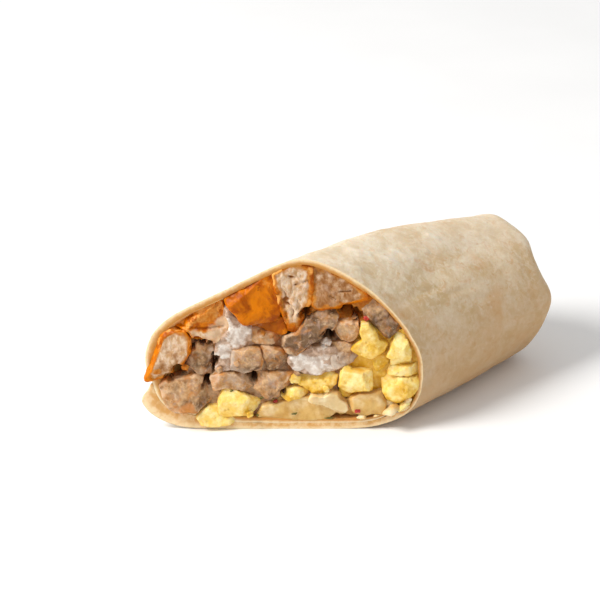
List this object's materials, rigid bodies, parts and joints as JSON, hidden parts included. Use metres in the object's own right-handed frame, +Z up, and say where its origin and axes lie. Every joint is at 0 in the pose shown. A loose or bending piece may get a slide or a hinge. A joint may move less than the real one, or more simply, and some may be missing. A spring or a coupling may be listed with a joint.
{
  "type": "burrito half",
  "caption": "Half of a breakfast burrito, cut on the bias: a flour tortilla rolled round diced potato, sausage, egg and cheese, closed at one end and resting on its flat underside.",
  "frame": {"origin": "on the table, under the middle of the bounding box", "axes": "+X along the roll towards its closed end, +Y towards the side that the bias cut leaves longer, +Z up"},
  "size_m": [0.1344, 0.0664, 0.0613],
  "materials": {
    "tortilla": "matt, floury, with pale and toasted mottling",
    "potato": "glossy orange-brown fried crust, pale mealy inside",
    "sausage": "moist grey-brown ground meat, slightly glossy",
    "egg": "soft pale yellow, finely porous, slightly moist",
    "cheese": "cream, semi-soft, with red and green pepper flecks",
    "cheese_sauce": "creamy white, wet"
  },
  "bodies": {
    "root": {"tortilla": "tortilla", "potato_filling": "potato", "sausage_filling": "sausage", "egg_filling": "egg", "cheese_filling": "cheese", "potato_1": "potato", "potato_2": "potato", "potato_3": "potato", "potato_4": "potato", "potato_5": "potato", "potato_6": "potato", "sausage_1": "sausage", "sausage_2": "sausage", "sausage_3": "sausage", "sausage_4": "sausage", "sausage_5": "sausage", "sausage_6": "sausage", "sausage_7": "sausage", "sausage_8": "sausage", "sausage_9": "sausage", "sausage_10": "sausage", "sausage_11": "sausage", "egg_1": "egg", "egg_2": "egg", "egg_3": "egg", "egg_4": "egg", "egg_5": "egg", "egg_6": "egg", "egg_7": "egg", "egg_8": "egg", "egg_9": "egg", "egg_10": "egg", "cheese_1": "cheese", "cheese_2": "cheese", "cheese_3": "cheese", "cheese_4": "cheese", "cheese_sauce_1": "cheese_sauce", "cheese_sauce_2": "cheese_sauce"}
  },
  "joints": []
}
